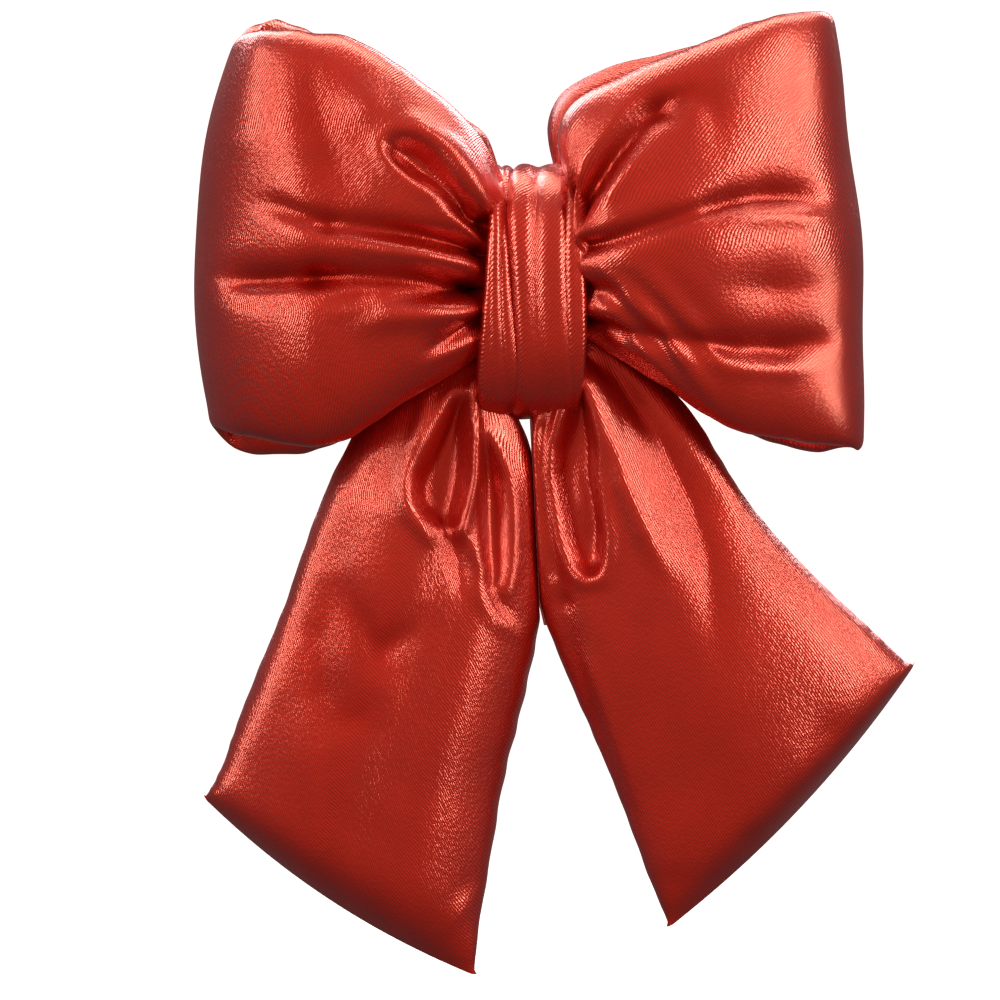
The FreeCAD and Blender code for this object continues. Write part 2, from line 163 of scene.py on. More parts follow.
LEFT_LOOP = [
    (-8.5, 48.0, -8.5, 25.0, -29.0, 5.5, 0, 0),
    (-12.6, 53.5, -14.0, 19.5, -30.5, 7.5, 0, 0),
    (-17.0, 62.2, -19.5, 15.2, -32.0, 9.5, 0, 0),
    (-24.0, 68.8, -26.5, 10.8, -32.5, 11.0, 0, 0),
    (-32.0, 74.8, -33.5, 6.6, -32.5, 11.5, 0, 0),
    (-41.0, 80.6, -42.0, 0.6, -32.0, 11.5, 0, 0),
    (-50.0, 81.8, -50.5, -1.2, -32.0, 11.2, 0, 0),
    (-56.0, 82.4, -57.5, 0.4, -30.8, 9.8, -3, -1),
    (-60.4, 82.4, -63.0, 1.0, -28.2, 6.6, -22, -3),
    (-62.6, 81.6, -67.0, 2.6, -24.6, 3.0, -55, -5.5),
    (-63.2, 81.6, -68.0, 3.4, -21.6, 2.2, -90, -6.5),
    (-62.6, 82.6, -67.4, 1.6, -18.4, 2.8, -125, -5),
    (-60.6, 85.0, -64.6, -2.0, -15.4, 4.6, -156, -2.4),
    (-57.0, 86.2, -59.0, -2.6, -13.2, 6.4, -176, -1),
    (-50.0, 83.5, -50.5, -2.0, -12.4, 7.6, -180, 0),
    (-41.0, 80.0, -42.0, 1.6, -12.2, 8.0, -180, 0),
    (-32.0, 74.0, -33.5, 9.0, -12.2, 8.0, -180, 0),
    (-23.0, 68.0, -26.0, 14.0, -12.4, 7.6, -180, 0),
    (-15.0, 63.0, -19.0, 19.0, -12.8, 7.0, -180, 0),
    (-12.6, 53.0, -14.0, 22.0, -13.6, 6.0, -180, 0),
    (-8.5, 47.0, -8.5, 25.0, -14.4, 4.8, -180, 0),
]
RIGHT_LOOP = [
    (-1.5, 48.0, -1.5, 25.0, -29.0, 5.5, 0, 0),
    (2.2, 53.5, 4.4, 21.5, -30.5, 7.5, 0, 0),
    (-0.6, 60.5, 8.0, 19.6, -31.6, 8.8, 0, 0),
    (1.4, 66.4, 12.5, 16.4, -32.2, 10.0, 0, 0),
    (6.5, 69.8, 17.0, 13.6, -32.5, 11.0, 0, 0),
    (13.0, 72.8, 22.0, 10.4, -32.5, 11.5, 0, 0),
    (21.0, 76.4, 28.0, 6.2, -32.5, 11.5, 0, 0),
    (30.0, 79.8, 34.5, 2.4, -31.7, 11.0, 0, 0),
    (38.0, 83.4, 42.0, 0.9, -30.4, 9.5, 0, 0),
    (45.5, 85.8, 50.0, -0.2, -28.8, 7.4, 10, 0.5),
    (50.4, 86.4, 56.0, -1.0, -27.0, 4.9, 28, 1),
    (52.6, 86.2, 59.0, -1.6, -24.6, 2.8, 58, 2),
    (53.0, 86.2, 59.6, -1.8, -21.6, 2.0, 90, 2.2),
    (52.4, 86.2, 58.8, -1.4, -18.4, 2.8, 124, 1.6),
    (50.2, 86.4, 55.4, -1.4, -15.4, 4.6, 155, 1),
    (45.0, 86.2, 49.5, -2.0, -13.2, 6.4, 175, 0),
    (37.0, 84.6, 42.0, 0.6, -12.4, 7.6, 180, 0),
    (29.0, 80.6, 34.0, 3.4, -12.2, 8.0, 180, 0),
    (20.0, 78.4, 27.0, 8.0, -12.2, 8.0, 180, 0),
    (9.0, 75.4, 19.0, 13.0, -12.4, 7.6, 180, 0),
    (0.5, 70.6, 11.0, 18.0, -12.6, 7.4, 180, 0),
    (-2.4, 63.0, 7.0, 21.0, -12.8, 7.0, 180, 0),
    (1.6, 53.0, 3.4, 22.5, -13.6, 6.0, 180, 0),
    (-1.5, 47.0, -1.5, 25.0, -14.4, 4.8, 180, 0),
]
LEFT_TAIL = [
    (-9.0, 20.0, -9.0, 12.0, -21.4, 5.5, 0, 0),
    (-15.0, 21.0, -11.5, 8.8, -21.6, 7.0, 0, 0),
    (-22.0, 19.0, -9.4, 5.0, -21.6, 7.6, 0, 0),
    (-31.0, 13.0, -6.4, 0.0, -21.2, 8.0, 0, 0),
    (-38.5, 6.0, -4.2, -6.5, -20.8, 8.8, 0, 0),
    (-43.6, -2.4, -3.4, -13.0, -20.4, 9.6, 0, 0),
    (-47.6, -11.0, -3.0, -21.0, -20.0, 10.4, 0, 0),
    (-51.4, -21.5, -3.0, -30.5, -19.8, 11.0, 0, 0),
    (-55.4, -33.0, -4.6, -41.0, -19.4, 11.4, 0, 0),
    (-60.4, -45.0, -7.4, -54.0, -19.0, 11.2, 0, -0.4),
    (-65.2, -57.0, -10.8, -68.0, -18.6, 10.4, 0, -0.8),
    (-67.6, -64.0, -13.4, -84.0, -18.0, 9.4, 0, -1.8),
    (-70.0, -68.6, -15.6, -98.0, -17.6, 7.4, 0, -3.0),
    (-71.9, -71.0, -16.8, -107.2, -17.4, 0.9, 0, -3.4),
]
RIGHT_TAIL = [
    (-1.6, 20.0, -1.6, 12.0, -22.4, 5.5, 0, 0),
    (4.6, 22.0, -2.6, 9.4, -22.8, 7.0, 0, 0),
    (12.0, 18.6, -5.2, 5.0, -22.8, 7.6, 0, 0),
    (20.0, 13.0, -7.6, 0.4, -22.4, 8.0, 0, 0),
    (27.4, 5.0, -8.2, -6.0, -21.6, 8.8, 0, 0),
    (32.6, -3.6, -7.8, -13.4, -21.0, 9.6, 0, 0),
    (38.2, -12.4, -6.2, -23.0, -20.6, 10.4, 0, 0),
    (45.0, -20.4, -3.6, -33.0, -20.2, 11.0, 0, 0),
    (52.6, -28.0, 1.0, -45.0, -19.8, 11.4, 0, 0),
    (59.6, -34.4, 6.6, -58.0, -19.4, 11.2, 0, 0.4),
    (65.4, -39.4, 12.0, -71.0, -18.8, 10.4, 0, 0.8),
    (68.8, -42.4, 16.4, -83.0, -18.2, 9.4, 0, 1.6),
    (70.8, -43.8, 19.4, -91.5, -17.8, 7.4, 0, 2.6),
    (71.8, -44.0, 21.8, -97.6, -17.6, 0.9, 0, 3.0),
]

# A crease is a row of (x, z, depth) points on the outer face and a width.  A negative depth is a ridge.
# A pocket is the outline of a hollow as (x, z) points, its depth, the width of its wall and the height of
# its rim.
LEFT_LOOP_CREASES = [
    ([(-13, 43, 5), (-18, 44.6, 4), (-22, 47, 1.4), (-25, 49, 0)], 1.6),
    ([(-23, 46, -0.6), (-19, 43.4, -1.6), (-16, 40.6, -1)], 1.7),
    ([(-14, 46, -0.6), (-17, 52, -1.4), (-22, 58.6, -1.6), (-29, 63, -1.2), (-35, 62, 0)], 2.2),
    (
        [(-13, 36.6, 5.4), (-18, 38.4, 4.4), (-25, 40, 3.4),
         (-32, 41.4, 2.8), (-40, 42.4, 2), (-46, 42.8, 1.6)],
        1.5,
    ),
    ([(-46, 42.8, 1.6), (-52, 44.6, 1.8), (-57, 46.6, 1.4), (-60, 48, 0)], 1.3),
    ([(-16, 35.4, -1.2), (-26, 37, -1.8), (-36, 38.4, -1.2), (-48, 40.8, -0.6), (-57, 45, -0.3)], 2.0),
    ([(-13, 30, 5.4), (-24, 31.2, 3.6), (-34, 32, 2.8), (-42, 32.4, 2.8), (-49, 32.3, 3.4)], 1.6),
    ([(-46, 32.4, 1.4), (-56, 32, 3.2), (-63, 31.8, 2.6), (-68.4, 32, 0)], 2.1),
    (
        [(-68, 30.6, 0), (-64, 29.6, -0.9), (-55, 29.8, -0.9),
         (-44, 30.6, -0.9), (-32, 30.4, -0.9), (-22, 30, -0.4)],
        1.1,
    ),
    ([(-35, 28.8, 0), (-24, 29, 2.4), (-14, 29.4, 3.6)], 1.0),
    ([(-45, 27.4, 0), (-40, 28, 0.9), (-35, 28.6, 0)], 0.9),
    ([(-46.5, 25, 0), (-41, 26.4, -0.8), (-36, 27.4, 0)], 0.9),
    ([(-43, 22.6, 0), (-33, 25, -1.2), (-22, 25.6, -1.8), (-16, 25.6, -1)], 2.6),
    ([(-13, 24, 5), (-16.4, 22.8, 4.2), (-20, 20.8, 3.2), (-24, 18.6, 1.6), (-28, 17, 0)], 1.4),
    ([(-15, 21.6, -0.4), (-19, 19.4, -1.2), (-24, 17, -0.8), (-28, 15.6, 0)], 1.1),
    ([(-50, 80, 0.4), (-49.5, 72, 1.7), (-48, 63, 1.8), (-44.5, 54, 1.1), (-39, 48, 0)], 4.4),
    ([(-42, 72, 0), (-38, 67, -0.9), (-34, 64, -0.5)], 4.0),
]
LEFT_LOOP_POCKETS = [
    (
        [(-34.6, 58.8), (-32, 60.4), (-28, 60), (-24.8, 57.6), (-21.6, 53.6), (-18, 48.6), (-15, 44.6),
         (-17, 44.4), (-21, 47.4), (-24.8, 49.8), (-28.4, 51.6), (-31.6, 54), (-34, 56.8)],
        4.6,
        3.2,
        0.5,
    ),
]
RIGHT_LOOP_CREASES = [
    (
        [(1.4, 45.4, 5.4), (6, 50.6, 4.6), (10, 56.6, 4),
         (13, 60.6, 3.4), (16, 64.2, 2.8), (19, 66.6, 2.3)],
        1.6,
    ),
    (
        [(19, 66.6, 2.3), (22.4, 68.6, 2.0), (26, 69.2, 1.8),
         (29.4, 67.6, 1.2), (31, 62, 0.6), (31, 54, 0)],
        2.4,
    ),
    ([(16, 61.6, 0), (20.6, 64, 0.8), (26, 64, 0)], 1.6),
    ([(4, 52, -0.6), (8, 58.6, -1.0), (13, 66, -1.0), (19, 70.6, -0.8), (26, 73, 0)], 2.2),
    ([(2, 47, -0.5), (8, 49, -1.4), (14, 55, -1.2), (20, 60, 0)], 2.4),
    (
        [(1.4, 37.6, 4.2), (8, 39.2, 2.8), (16, 42, 2.0),
         (24, 44.6, 1.8), (30, 46.6, 1.6), (34, 47.6, 0.8)],
        1.1,
    ),
    ([(27, 45.6, 0), (34, 47.6, 1.8), (42, 48.8, 2.6), (48, 48.8, 1.8), (53, 48, 0)], 2.2),
    ([(30, 43.6, 0), (38, 45, -0.9), (47, 45.2, -0.9), (54, 44, 0)], 1.9),
    ([(2, 30, 3.4), (7, 29.6, 2), (13, 30, 0)], 1.3),
    ([(2, 26.4, -0.6), (8, 26, -1.2), (14, 26.6, 0)], 1.5),
    ([(2, 23.4, 4.6), (12, 21.4, 2.4), (20, 20.2, 1.8), (28, 19.4, 1.7), (34, 18.8, 1)], 1.1),
    ([(25, 19.8, 0), (34, 18.8, 2), (44, 18.2, 3), (50, 19.4, 1.8), (55, 21.4, 0)], 2.1),
    ([(27, 16.6, 0), (36, 14.8, -1.2), (46, 14.6, -1.3), (54, 18, 0)], 1.8),
    ([(30, 30.6, 0), (42, 30.2, 1.2), (56, 31, 0.2)], 3.0),
    ([(2, 22, 4), (8, 18.6, 3.4), (14, 14.2, 2.8), (20, 9.6, 2.2), (24, 6.6, 1.4), (28, 5.2, 0)], 1.2),
    ([(6, 17.4, -0.4), (12, 12.8, -1), (19, 7.6, -1), (25, 4, 0)], 1.0),
]
LEFT_TAIL_CREASES = [
    ([(-17.4, 12, -1), (-16.8, 0.6, -2), (-17, -7.4, -2), (-18.6, -13.8, -1.8), (-19.6, -17.4, -1.4)], 1.0),
    ([(-19.6, -17.4, -1.4), (-18, -21, -1.2), (-16.4, -25, 0)], 1.0),
    ([(-22.6, -18.4, 2), (-20.4, -21.6, 1.6), (-19.6, -26, 1.1), (-19.2, -32, 0)], 1.2),
    ([(-30.6, -2, 0), (-31.4, -8, -1), (-30.4, -14, -1.2), (-26, -18.8, -1.2), (-22.4, -21.4, 0)], 1.4),
    ([(-13.4, -28, 2), (-11.6, -32.6, 1.6), (-8.4, -36, 0.6), (-6.6, -37, 0)], 1.1),
    ([(-18, -24, 0), (-15.6, -30.6, -0.9), (-12, -36, -0.9), (-8, -39, 0)], 1.3),
    ([(-26.6, 8, -0.6), (-29, 0, -0.9), (-32, -5, 0)], 1.6),
    ([(-33, 2, 0), (-37, -6, 0.8), (-37, -13, 0)], 2.4),
    ([(-45, -26, 0), (-48, -38, 1.3), (-47, -50, 1.4), (-44, -61, 0)], 3.0),
    ([(-45, -26, 0), (-40, -35, 1.3), (-36, -41, 1.5), (-31, -38, 1.0), (-26, -32, 0)], 2.8),
    ([(-36, -49, 0), (-40, -55, 0.8), (-36, -62, 0)], 2.8),
    (
        [(-37, 4, 0), (-44, -11, -1.2), (-50, -23, -1.2),
         (-53.6, -35, -1.1), (-58, -49, -1), (-63, -63, 0)],
        3.6,
    ),
    ([(-24, -99, 0), (-19.4, -93, -0.8), (-16.6, -88, 0)], 1.3),
    ([(-22, -94, 0), (-18, -89, 0.7), (-16, -84, 0)], 1.3),
]
LEFT_TAIL_POCKETS = [
    (
        [(-24, 4), (-27, -2.4), (-29.2, -6.4), (-29.2, -10.4), (-27.6, -13.6), (-25, -16), (-22, -17.6),
         (-20.8, -15.6), (-19.6, -11.6), (-18.6, -6), (-18.4, 1), (-18.8, 9), (-21.4, 9)],
        4.4,
        3.2,
        0.5,
    ),
    (
        [(-15.6, 2), (-13, -2.4), (-11, -7), (-10.2, -12.4), (-10, -18.4), (-10.2, -24), (-11.4, -28.6),
         (-13.4, -27.6), (-15, -23.4), (-15.8, -17.4), (-15.8, -11.4), (-15.6, -4)],
        4.0,
        2.6,
        0.7,
    ),
]
RIGHT_TAIL_CREASES = [
    ([(-3.2, 3, 1.6), (-3.6, -5.4, 1.6), (-2.6, -15.4, 1.4), (-1.2, -24, 1.3), (0.4, -32, 1.2)], 0.9),
    ([(0.4, -32, 1.2), (2.6, -42, 1.3), (6.4, -53.4, 1.2), (10.4, -65.4, 1), (15, -77.4, 0)], 1.3),
    ([(4, -40, 0), (6.4, -46, -0.7), (10, -57, -0.8), (14, -68, -0.5), (18, -77, 0)], 1.4),
    ([(2.2, -4, 0), (3.4, -12, -0.9), (4.8, -19, 0)], 1.1),
    ([(6.4, 12, -0.8), (9.6, 2, -1.4), (12.6, -8, -1.8), (17, -18, -1.5), (22, -28, 0)], 2.5),
    (
        [(12, 14, 1), (18, 5, 1.8), (22.6, -3, 2.2), (26.6, -12, 2),
         (29.4, -22, 1.5), (31, -36, 0.8), (32, -48, 0)],
        3.0,
    ),
    ([(10, 16, 0.6), (15, 8, 1.2), (19, 1, 0)], 1.4),
    (
        [(22, 6, -0.6), (28, -2.6, -1.3), (38, -14, -1.4),
         (50, -26, -1.3), (61, -36.6, -1.1), (68, -42, 0)],
        2.8,
    ),
    ([(17.6, -87, 0), (23, -88, 1.2), (28.6, -87, 0)], 1.2),
    ([(34.6, -81, 0), (38.6, -79.4, 0.9), (43, -78.4, 0)], 0.9),
    ([(60, -54, 0), (54, -58, 0.6), (48, -64, 0)], 3.4),
]
RIGHT_TAIL_POCKETS = [
    (
        [(-1.2, -1), (-1.4, -7), (-0.2, -14), (1, -20), (2.8, -24.4), (5, -26.6), (7.4, -26), (8.4, -23),
         (8.6, -18), (7.8, -12), (6.8, -6), (6.8, 0), (5.4, 7), (3.6, 11), (1.4, 7)],
        4.4,
        2.8,
        1.1,
    ),
]

# ---------------------------------------------------------------- grids of cloth


def through(rows, count):
    """Catmull-Rom through rows of station numbers, then evenly spaced by the mean length of both edges."""
    rows = np.array(rows, float)
    padded = np.vstack([rows[:1], rows, rows[-1:]])
    t = np.linspace(0, 1, SPLINE_STEPS, endpoint=False)[:, None]
    fine = []
    for a, b, c, d in zip(padded, padded[1:], padded[2:], padded[3:]):
        square = 2 * a - 5 * b + 4 * c - d
        cube = 3 * b - a - 3 * c + d
        fine.append(b + ((c - a) * t + square * t**2 + cube * t**3) / 2)
    fine = np.vstack(fine + [rows[-1:]])
    edges = np.stack([fine[:, [0, 4, 1]], fine[:, [2, 4, 3]]])
    steps = np.linalg.norm(np.diff(edges, axis=1), axis=2).mean(0)
    run = np.concatenate([[0], np.cumsum(steps)])
    want = np.linspace(0, run[-1], count)
    return np.stack([np.interp(want, run, fine[:, k]) for k in range(fine.shape[1])], 1)


def tube(stations, along, around):
    """A padded tube as a grid (along, around, 3).

    Column 0 is the upper seam and the middle column is the lower.
    """
    half_count = around // 2
    angle = np.linspace(0, math.pi, 65)
    c = np.sign(np.cos(angle)) * np.abs(np.cos(angle)) ** (2 / TUBE_POWER)
    s = np.abs(np.sin(angle)) ** (2 / TUBE_POWER)
    grid = np.zeros((along, around, 3))
    for i, (ux, uz, lx, lz, y, half, turn, bow) in enumerate(through(stations, along)):
        middle = np.array([(ux + lx) / 2, y, (uz + lz) / 2])
        chord = np.array([(ux - lx) / 2, 0, (uz - lz) / 2])
        out = np.array([math.sin(math.radians(turn)), -math.cos(math.radians(turn)), 0])
        for sign in (1, -1):
            line = middle + chord * c[:, None] + out * (sign * half * s)[:, None]
            across = np.array([chord[2], 0, -chord[0]])
            line += bow * (1 - c**2)[:, None] * across / np.linalg.norm(chord)
            run = np.concatenate([[0], np.cumsum(np.linalg.norm(np.diff(line, axis=0), axis=1))])
            spots = np.linspace(0, run[-1], half_count + 1)[:-1]
            columns = slice(0, half_count)
            if sign < 0:
                spots = run[-1] - spots
                columns = slice(half_count, around)
            grid[i, columns] = np.stack([np.interp(spots, run, line[:, k]) for k in range(3)], 1)
    return grid


def normals(p):
    """Unit normals of a grid that closes round its columns."""
    du = np.gradient(p, axis=0)
    dv = (np.roll(p, -1, 1) - np.roll(p, 1, 1)) / 2
    n = np.cross(du, dv)
    return n / np.maximum(np.linalg.norm(n, axis=2, keepdims=True), 1e-9)


def outward_sign(p):
    """1 if a tube's normals look outwards, otherwise -1: the first quarter of its columns is its front."""
    return 1.0 if normals(p)[20, p.shape[1] // 4, 1] < 0 else -1.0


def beside(x, z, start, end):
    """For each place, the share of the way along a line where it is nearest, and its distance from it."""
    dx, dz = end[0] - start[0], end[1] - start[1]
    share = np.clip(((x - start[0]) * dx + (z - start[1]) * dz) / (dx * dx + dz * dz), 0, 1)
    return share, np.hypot(x - start[0] - share * dx, z - start[1] - share * dz)


def crease_depth(x, z, points, width):
    """How deep a crease is at each place: a bump across the row of points, whose depth varies along it."""
    depth = np.zeros_like(x)
    nearest = np.full(x.shape, 1e9)
    for start, end in zip(points, points[1:]):
        share, gap = beside(x, z, start, end)
        depth = np.where(gap < nearest, start[2] + (end[2] - start[2]) * share, depth)
        nearest = np.minimum(gap, nearest)
    valley = np.exp(-((nearest / (VALLEY_SPREAD * width)) ** VALLEY_POWER))
    ridge = np.exp(-((nearest / width) ** 2))
    return depth * np.where(depth > 0, valley, ridge)


def pocket_depth(x, z, outline, deep, wall, rim):
    """How deep a pocket is at each place: a hollow with a soft wall, and a rim just outside its outline."""
    gap = np.full(x.shape, 1e9)
    inside = np.zeros(x.shape, bool)
    for start, end in zip(outline, outline[1:] + outline[:1]):
        gap = np.minimum(gap, beside(x, z, start, end)[1])
        dx, dz = end[0] - start[0], end[1] - start[1]
        crosses = (start[1] > z) != (end[1] > z)
        inside ^= crosses & (x < dx * (z - start[1]) / (dz if dz else 1e-9) + start[0])
    gap = np.where(inside, gap, -gap)
    slope = np.clip(gap / wall + POCKET_LIP, 0, 1)
    return deep * slope * slope * (3 - 2 * slope) - rim * np.exp(-(((gap + RIM_PLACE) / RIM_WIDTH) ** 2))


def refine(p):
    """Twice as many rows and columns, on smooth curves through the old ones."""
    ends = np.concatenate([2 * p[:1] - p[1:2], p, 2 * p[-1:] - p[-2:-1]])
    middle = (9 * (ends[1:-2] + ends[2:-1]) - ends[:-3] - ends[3:]) / 16
    rows = np.empty((2 * len(p) - 1,) + p.shape[1:])
    rows[0::2] = p
    rows[1::2] = middle
    out = np.empty((len(rows), 2 * p.shape[1], 3))
    out[:, 0::2] = rows
    out[:, 1::2] = (9 * (rows + np.roll(rows, -1, 1)) - np.roll(rows, 1, 1) - np.roll(rows, -2, 1)) / 16
    return out


def smooth(field, times):
    """Softens a grid of numbers or vectors.  Its first and last rows are softened only along themselves."""
    for _ in range(times):
        inner = field.copy()
        inner[1:-1] = (field[2:] + field[:-2] + 2 * field[1:-1]) / 4
        field = (np.roll(inner, 1, 1) + np.roll(inner, -1, 1) + 2 * inner) / 4
    return field


def pleats(along, around, strength, counts):
    """Soft gathers: uneven waves round a tube, one for each number of waves in counts."""
    j = np.arange(around) / around * 2 * math.pi
    i = np.arange(along)[:, None]
    wave = np.zeros((along, around))
    for count in counts:
        phase = RNG.uniform(0, 2 * math.pi)
        drift = RNG.uniform(-0.02, 0.02)
        wave += np.cos(count * j[None] + phase + drift * i) * RNG.uniform(0.6, 1.2)
    return wave * strength


def puckers(along, around, size):
    """Short uneven ripples along the two seams of a tube."""
    total = np.zeros((along, around))
    run = np.arange(along) * PUCKER_STEP
    for seam in (0, around // 2):
        ripple = sum(
            RNG.uniform(0.4, 1) * np.sin(run * 2 * math.pi / RNG.uniform(4, 11) + RNG.uniform(0, 6))
            for _ in range(4)
        )
        for side in (-1, 1):
            for step in range(8):
                share = math.exp(-((step / PUCKER_REACH) ** 2)) * (0.4 if step == 0 else 1)
                total[:, (seam + side * step) % around] += ripple * share * size * (1 if side > 0 else 0.6)
    return total


def project(a, b, rest, stretch, squeeze):
    """Half of the move that brings two grids of points to their rest distance."""
    d = b - a
    length = np.linalg.norm(d, axis=2)
    excess = (length - rest) / np.maximum(length, 1e-9)
    return d * (np.where(excess > 0, stretch, squeeze) * excess * 0.5)[..., None]


def bending(p):
    """How far each point of a grid stands off its four neighbours."""
    out = np.zeros_like(p)
    out[1:-1] = p[2:] + p[:-2] - 2 * p[1:-1]
    out[1:-1] += (np.roll(p, 1, 1) + np.roll(p, -1, 1) - 2 * p)[1:-1]
    return out


def relax(p, steps, pressure, bend, hold, limit, own=0.6, slack=(1.03, 1.02)):
    """Settles a grid of cloth: it keeps its lengths, is pushed out from inside, and resists bending.

    own is how much of its own length each point along the tube keeps, rather than the mean of its row.
    slack stretches the lengths along and around the tube.  limit holds the cloth inside its room.
    """
    target = p.copy()
    p = p.copy()
    before = p.copy()
    ru = np.linalg.norm(np.diff(p, axis=0), axis=2)
    ru = (own * ru + (1 - own) * ru.mean(1, keepdims=True)) * slack[0]
    rv = np.linalg.norm(np.roll(p, -1, 1) - p, axis=2) * slack[1]
    rd = np.hypot(ru, (rv[1:] + rv[:-1]) / 2)
    for step in range(steps):
        push = pressure * min(1, (step + 1) / PUSH_STEPS)
        velocity = (p - before) * SPEED_KEPT
        before = p.copy()
        p = p + velocity + normals(p) * push
        for parity in (0, 1):
            b = p[parity + 1 :: 2]
            a = p[parity:-1:2][: len(b)]
            move = project(a, b, ru[parity::2][: len(a)], *ALONG_PULL)
            a += move
            b -= move
            columns = np.arange(parity, p.shape[1], 2)
            others = (columns + 1) % p.shape[1]
            move = project(p[:, columns], p[:, others], rv[:, columns], *ALONG_PULL)
            p[:, columns] += move
            p[:, others] -= move
            for shift in (-1, 1):
                far = np.roll(p[parity + 1 :: 2], shift, 1)
                near = p[parity:-1:2][: len(far)]
                move = project(near, far, rd[parity::2][: len(near)], *ACROSS_PULL)
                near += move
                p[parity + 1 :: 2] -= np.roll(move, -shift, 1)
        p[1:-1] -= bend * bending(bending(p))[1:-1]
        p += (target - p) * hold[..., None]
        p = limit(p)
    return p


# ---------------------------------------------------------------- meshes


def grid_mesh(name, p, cap_start=True, cap_end=False, folds=None):
    """A mesh from a grid in millimetres that closes round its columns.

    Its UVs are in millimetres of cloth, turned so that on the front U runs to the right and V upwards.
    """
    along, around = p.shape[:2]
    run_u = np.zeros((along, around + 1))
    run_u[1:, :around] = np.cumsum(np.linalg.norm(np.diff(p, axis=0), axis=2), 0)
    run_u[:, around] = run_u[:, 0]
    for _ in range(12):
        run_u[:, 1:-1] = (run_u[:, 2:] + run_u[:, :-2] + 2 * run_u[:, 1:-1]) / 4
    closed = np.concatenate([p, p[:, :1]], 1)
    run_v = np.zeros((along, around + 1))
    run_v[:, 1:] = np.cumsum(np.linalg.norm(np.diff(closed, axis=1), axis=2), 1)
    run_v -= run_v[:, around // 4 : around // 4 + 1]
    i, j = np.meshgrid(np.arange(along - 1), np.arange(around), indexing="ij")
    i, j = i.ravel(), j.ravel()
    k = (j + 1) % around
    quads = np.stack([i * around + j, i * around + k, (i + 1) * around + k, (i + 1) * around + j], 1)
    corners = [(i, j), (i, j + 1), (i + 1, j + 1), (i + 1, j)]
    uvs = np.stack([np.stack([run_u[a, b], run_v[a, b]], 1) for a, b in corners], 1).reshape(-1, 2)
    front = slice(around // 8, around * 3 // 8)
    cloth = np.stack([run_u[:, front], run_v[:, front]], -1).reshape(-1, 2)
    place = p[:, front][..., [0, 2]].reshape(-1, 2)
    left, _, right = np.linalg.svd((cloth - cloth.mean(0)).T @ (place - place.mean(0)))
    uvs = uvs @ (left @ right)
    verts = [tuple(v) for v in (p.reshape(-1, 3) * MM)]
    faces = quads.tolist()
    if cap_start:
        verts.append(tuple(p[0].mean(0) * MM))
        faces += [(len(verts) - 1, (c + 1) % around, c) for c in range(around)]
        uvs = np.vstack([uvs, np.zeros((3 * around, 2))])
    if cap_end:
        last = (along - 1) * around
        verts.append(tuple(p[-1].mean(0) * MM))
        faces += [(len(verts) - 1, last + c, last + (c + 1) % around) for c in range(around)]
        uvs = np.vstack([uvs, np.zeros((3 * around, 2))])
    mesh = bpy.data.meshes.new(name)
    mesh.from_pydata(verts, [], faces)
    mesh.uv_layers.new(name="cloth").data.foreach_set("uv", uvs.ravel())
    # The fold attribute: how deep in a fold each point is, which the foil paints as shade.
    fold = np.zeros(len(verts))
    if folds is not None:
        fold[: along * around] = folds.ravel()
    mesh.attributes.new("fold", "FLOAT", "POINT").data.foreach_set("value", fold)
    return link_mesh(name, mesh)


def link_mesh(name, mesh):
    """A smooth-shaded object of the mesh, in the scene."""
    mesh.shade_smooth()
    obj = bpy.data.objects.new(name, mesh)
    bpy.context.scene.collection.objects.link(obj)
    return obj


# ---------------------------------------------------------------- materials


def new_material(name):
    material = bpy.data.materials.new(name)
    material.use_nodes = True
    nodes = material.node_tree.nodes
    links = material.node_tree.links
    return material, nodes, links, nodes["Principled BSDF"]


def new_node(nodes, kind, **values):
    """A shader node.  Each value goes to the socket of that name, with underscores for its spaces."""
    node = nodes.new("ShaderNode" + kind)
    for name, value in values.items():
        node.inputs[name.replace("_", " ")].default_value = value
    return node


def new_texture(nodes, links, kind, **values):
    """A texture over the object's own coordinates."""
    coords = new_node(nodes, "TexCoord")
    texture = new_node(nodes, kind, **values)
    links.new(coords.outputs["Object"], texture.inputs["Vector"])
    return texture.outputs["Fac"]


def new_ramp(nodes, links, source, colours, stops=(0, 1)):
    """A ramp between two colours."""
    ramp = new_node(nodes, "ValToRGB")
    for element, colour, stop in zip(ramp.color_ramp.elements, colours, stops):
        element.position = stop
        element.color = (*colour, 1)
    links.new(source, ramp.inputs["Fac"])
    return ramp.outputs["Color"]


def new_range(nodes, links, source, **values):
    """A number moved from one range to another."""
    node = new_node(nodes, "MapRange", **values)
    links.new(source, node.inputs["Value"])
    return node.outputs["Result"]


def new_bump(nodes, links, source, **values):
    """A bump node and its normal."""
    node = new_node(nodes, "Bump", **values)
    links.new(source, node.inputs["Height"])
    return node, node.outputs["Normal"]


